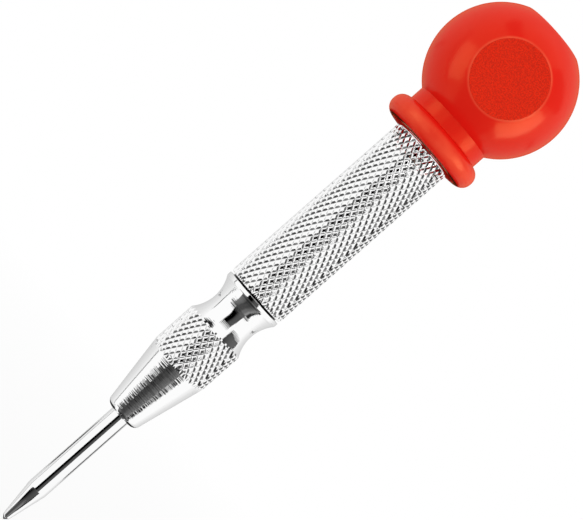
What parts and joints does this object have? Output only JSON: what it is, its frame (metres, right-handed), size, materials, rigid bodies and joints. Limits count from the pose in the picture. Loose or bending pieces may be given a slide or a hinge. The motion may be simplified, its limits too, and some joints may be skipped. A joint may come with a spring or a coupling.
{
  "type": "automatic center punch",
  "caption": "Spring-driven marking punch: knurled chromed barrel and tapered nose, slim steel point, and a red ball handle that turns to set the blow.",
  "frame": {"origin": "The tip of the point, on the tool's axis, with the point out.", "axes": "+Z runs along the tool's axis from the tip to the end of the ball. The ball's side flats face -Y and +Y."},
  "size_m": [0.028, 0.024, 0.1303],
  "materials": {
    "red_plastic": "moulded, glossy, with fine grain on the flats",
    "chromed_steel": "bright chrome plate over turned and knurled steel",
    "point_steel": "hardened and ground, polished",
    "plain_steel": "turned, lightly oiled",
    "spring_wire": "drawn spring wire",
    "bush_brass": "turned"
  },
  "bodies": {
    "barrel": {"barrel": "chromed_steel", "nose": "chromed_steel", "guide_bush": "bush_brass", "return_spring": "spring_wire"},
    "punch": {"punch_point": "point_steel", "drive_pin": "plain_steel"},
    "hammer": {"hammer": "plain_steel", "block_spring": "spring_wire", "keeper_pin": "plain_steel"},
    "release_block": {"release_block": "plain_steel"},
    "spring_seat": {"spring_seat": "plain_steel", "main_spring": "spring_wire"},
    "handle": {"ball_handle": "red_plastic", "adjusting_screw": "plain_steel"}
  },
  "joints": [
    {"name": "point_press", "type": "slide", "parent": "barrel", "child": "punch", "axis": [0, 0, 1], "range_m": [0, 0.009], "stiffness_N_per_m": 400, "springref_m": -0.006, "deforming": ["return_spring"]},
    {"name": "hammer_lift", "type": "slide", "parent": "barrel", "child": "hammer", "axis": [0, 0, 1], "range_m": [0, 0.009], "stiffness_N_per_m": 5000, "springref_m": -0.005, "deforming": ["main_spring"]},
    {"name": "block_shift", "type": "slide", "parent": "hammer", "child": "release_block", "axis": [-1, 0, 0], "range_m": [0, 0.0009], "deforming": ["block_spring"]},
    {"name": "seat_advance", "type": "slide", "parent": "barrel", "child": "spring_seat", "axis": [0, 0, 1], "range_m": [-0.002, 0.002], "deforming": ["main_spring"]},
    {"name": "handle_turn", "type": "hinge", "parent": "spring_seat", "child": "handle", "pos_m": [0, 0, 0.118], "axis": [0, 0, 1], "range_deg": [-720, 720]}
  ],
  "couplings": [
    {"joint": "hammer_lift", "follows": "point_press", "ratio": 1},
    {"joint": "block_shift", "follows": "point_press", "ratio": 0.1},
    {"joint": "handle_turn", "follows": "seat_advance", "rad_per_m": 6283.2}
  ]
}
